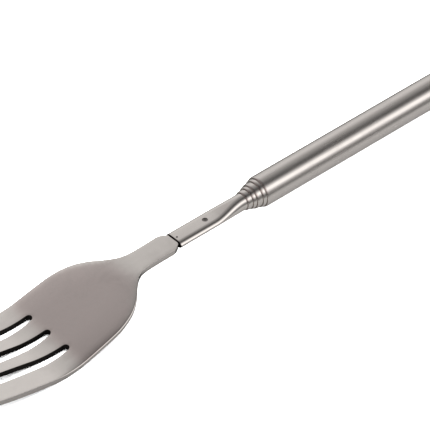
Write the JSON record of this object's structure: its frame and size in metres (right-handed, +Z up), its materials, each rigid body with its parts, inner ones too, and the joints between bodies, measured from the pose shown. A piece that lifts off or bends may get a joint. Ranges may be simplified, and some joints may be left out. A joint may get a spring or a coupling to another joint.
{
  "type": "telescopic fork",
  "caption": "Table fork on a telescopic steel handle: nested round tubes pull out of one another and stay where they are put by friction.",
  "frame": {"origin": "bottom centre of the closed fork's box, level with the lowest point of the bowl", "axes": "+X along the tubes, from the handle's end to the tines; +Z up, on the side the tines curve toward; +Y to the left when looking along +X"},
  "size_m": [0.2178, 0.0302, 0.0127],
  "materials": {
    "head_steel": "fine brushed satin along the fork, polished edges",
    "socket_steel": "fine satin",
    "stage_steel": "polished with faint turning lines",
    "handle_steel": "fine satin drawn along the tube",
    "plug_steel": "turned and polished",
    "spring_bronze": "bare rolled strip"
  },
  "bodies": {
    "handle": {"handle_tube": "handle_steel", "handle_end_plug": "plug_steel"},
    "stage_5_springs": {"stage_5_spring_left": "spring_bronze", "stage_5_spring_right": "spring_bronze"},
    "stage_5": {"stage_5_tube": "stage_steel"},
    "stage_4_springs": {"stage_4_spring_left": "spring_bronze", "stage_4_spring_right": "spring_bronze"},
    "stage_4": {"stage_4_tube": "stage_steel"},
    "stage_3_springs": {"stage_3_spring_left": "spring_bronze", "stage_3_spring_right": "spring_bronze"},
    "stage_3": {"stage_3_tube": "stage_steel"},
    "stage_2_springs": {"stage_2_spring_left": "spring_bronze", "stage_2_spring_right": "spring_bronze"},
    "stage_2": {"stage_2_tube": "stage_steel"},
    "stage_1_springs": {"stage_1_spring_left": "spring_bronze", "stage_1_spring_right": "spring_bronze"},
    "head": {"stage_1_tube": "socket_steel", "fork_head": "head_steel", "tang_rivet": "plug_steel"}
  },
  "joints": [
    {"name": "stage_5_slide", "type": "slide", "parent": "handle", "child": "stage_5_springs", "axis": [1, 0, 0], "range_m": [0, 0.0818]},
    {"name": "stage_5_swivel", "type": "hinge", "parent": "stage_5_springs", "child": "stage_5", "pos_m": [-0.10002, 0, 0.00822], "axis": [1, 0, 0], "continuous": true},
    {"name": "stage_4_slide", "type": "slide", "parent": "stage_5", "child": "stage_4_springs", "axis": [1, 0, 0], "range_m": [0, 0.08295]},
    {"name": "stage_4_swivel", "type": "hinge", "parent": "stage_4_springs", "child": "stage_4", "pos_m": [-0.10002, 0, 0.00822], "axis": [1, 0, 0], "continuous": true},
    {"name": "stage_3_slide", "type": "slide", "parent": "stage_4", "child": "stage_3_springs", "axis": [1, 0, 0], "range_m": [0, 0.08465]},
    {"name": "stage_3_swivel", "type": "hinge", "parent": "stage_3_springs", "child": "stage_3", "pos_m": [-0.10002, 0, 0.00822], "axis": [1, 0, 0], "continuous": true},
    {"name": "stage_2_slide", "type": "slide", "parent": "stage_3", "child": "stage_2_springs", "axis": [1, 0, 0], "range_m": [0, 0.08575]},
    {"name": "stage_2_swivel", "type": "hinge", "parent": "stage_2_springs", "child": "stage_2", "pos_m": [-0.10002, 0, 0.00822], "axis": [1, 0, 0], "continuous": true},
    {"name": "stage_1_slide", "type": "slide", "parent": "stage_2", "child": "stage_1_springs", "axis": [1, 0, 0], "range_m": [0, 0.08735]},
    {"name": "stage_1_swivel", "type": "hinge", "parent": "stage_1_springs", "child": "head", "pos_m": [-0.10002, 0, 0.00822], "axis": [1, 0, 0], "continuous": true}
  ]
}
